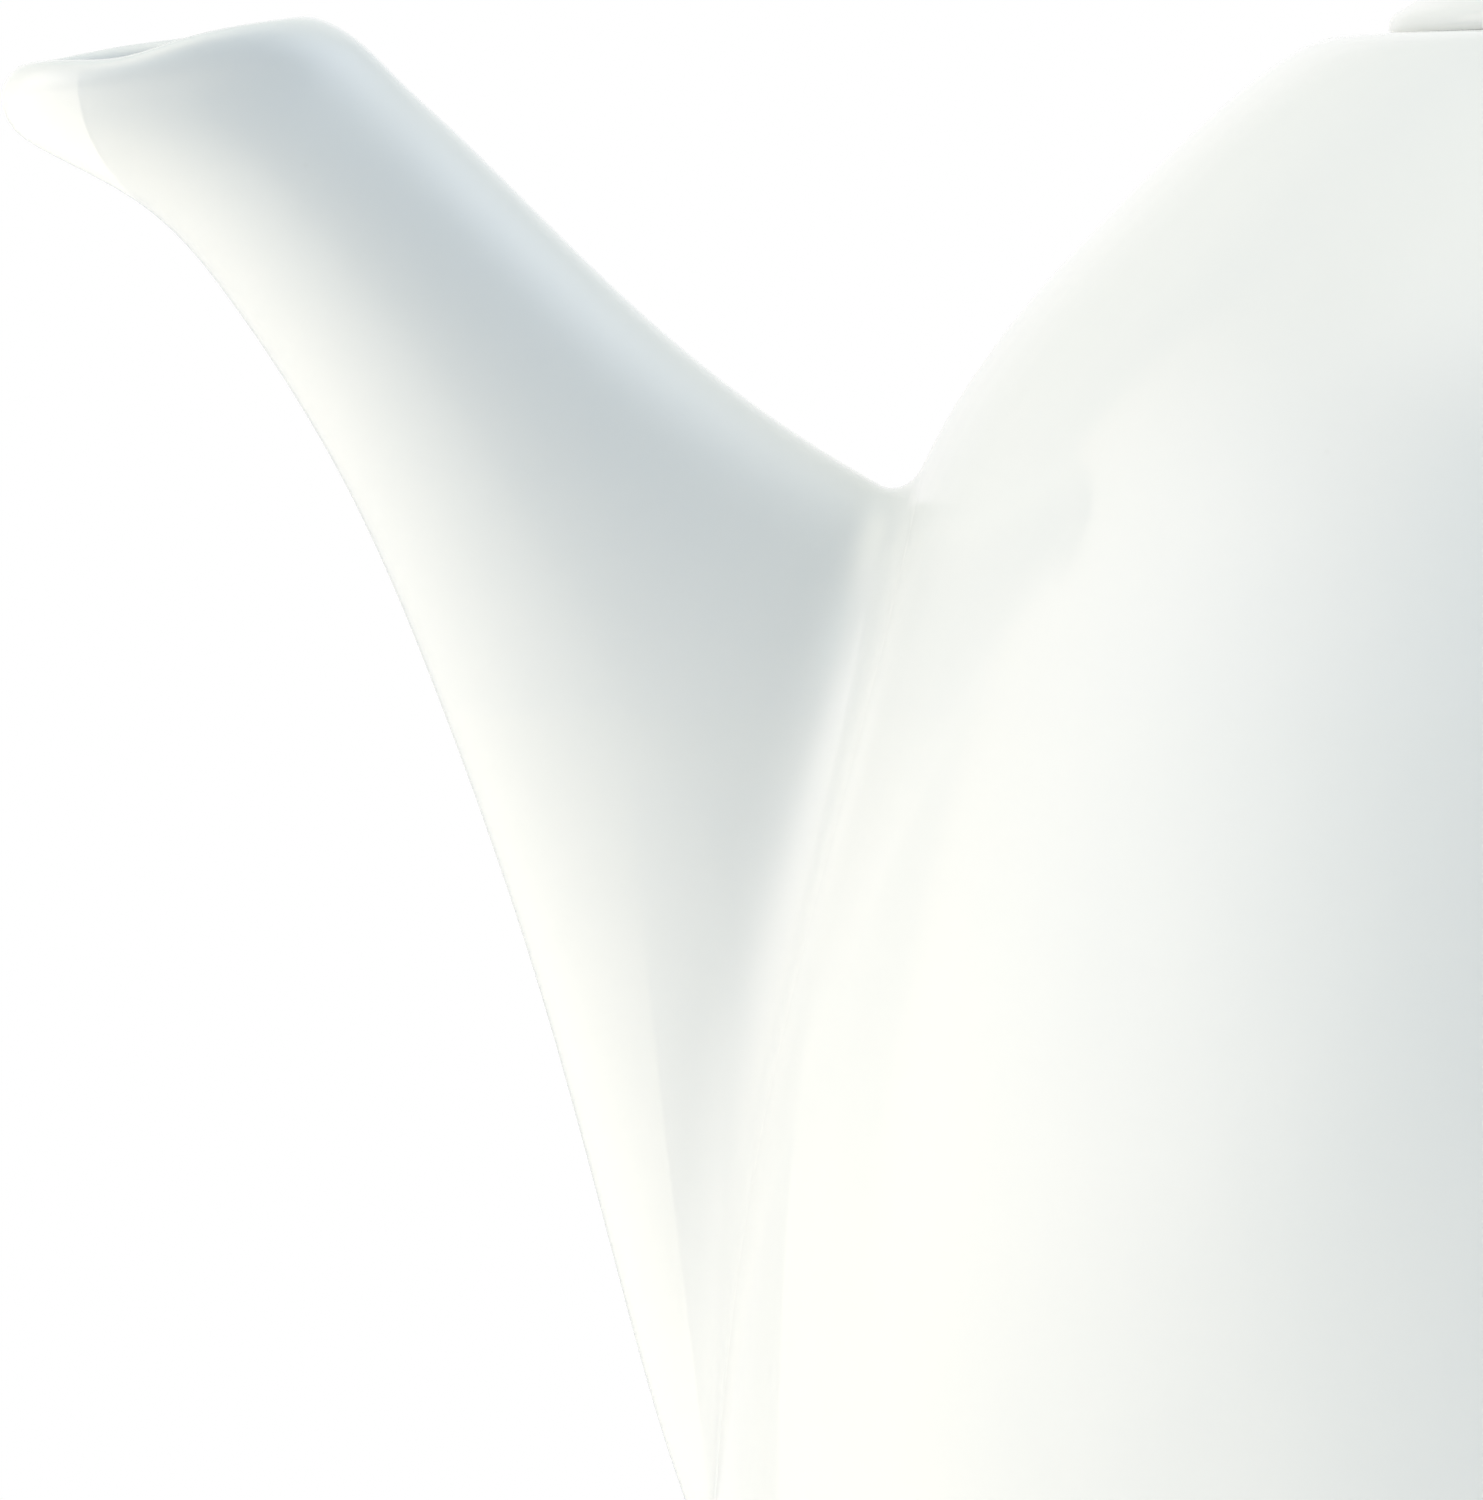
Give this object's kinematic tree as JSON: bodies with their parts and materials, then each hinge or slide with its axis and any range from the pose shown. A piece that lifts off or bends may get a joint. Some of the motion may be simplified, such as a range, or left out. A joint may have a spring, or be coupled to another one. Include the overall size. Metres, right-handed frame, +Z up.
{
  "type": "coffee pot",
  "caption": "Tall rounded porcelain coffee pot with a long curved spout, a loop handle and a lift-off domed lid with a knob.",
  "frame": {"origin": "on the body's axis, in the plane the foot ring stands on", "axes": "+Z up along the body's axis, -X towards the spout's mouth, +X towards the handle, the XZ plane is the pot's plane of symmetry"},
  "size_m": [0.2139, 0.1324, 0.2032],
  "materials": {
    "glazed_porcelain": "clear glossy glaze over white porcelain, with a bare matt foot ring"
  },
  "bodies": {
    "pot": {"pot_body": "glazed_porcelain", "spout": "glazed_porcelain", "handle": "glazed_porcelain"},
    "lid": {"lid": "glazed_porcelain", "lid_knob": "glazed_porcelain"}
  },
  "joints": [
    {"name": "lid_lift", "type": "slide", "parent": "pot", "child": "lid", "axis": [0, 0, 1], "range_m": [0, 0.06]}
  ]
}
